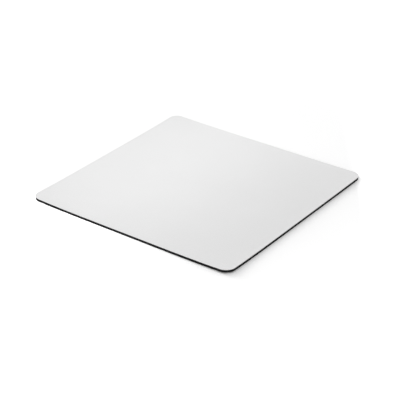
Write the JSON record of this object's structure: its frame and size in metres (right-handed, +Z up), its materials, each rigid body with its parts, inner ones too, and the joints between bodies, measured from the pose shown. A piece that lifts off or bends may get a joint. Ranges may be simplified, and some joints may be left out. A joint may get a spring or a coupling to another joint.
{
  "type": "mouse pad",
  "caption": "Flat rounded-rectangle mouse pad: a smooth white knitted face bonded to a black foam rubber base whose underside has a wavy non-slip tread.",
  "frame": {"origin": "middle of the underside, on the plane through the lands of the tread that the pad rests on", "axes": "+Z up out of the fabric face, +X along the long side, +Y along the short side; the picture looks from +X and -Y, so its left front edge is the long side at -Y and its right front edge the short side at +X"},
  "size_m": [0.24, 0.235, 0.003],
  "materials": {
    "foam_rubber": "matt closed-cell foam, die-cut edge, embossed underside",
    "melt_film": "milky hot-melt film, seen only as a thin line in the cut edge",
    "knit_face": "fine white polyester knit, heat-calendered and undecorated"
  },
  "bodies": {
    "root": {"rubber_base": "foam_rubber", "adhesive_film": "melt_film", "fabric_top": "knit_face"}
  },
  "joints": []
}
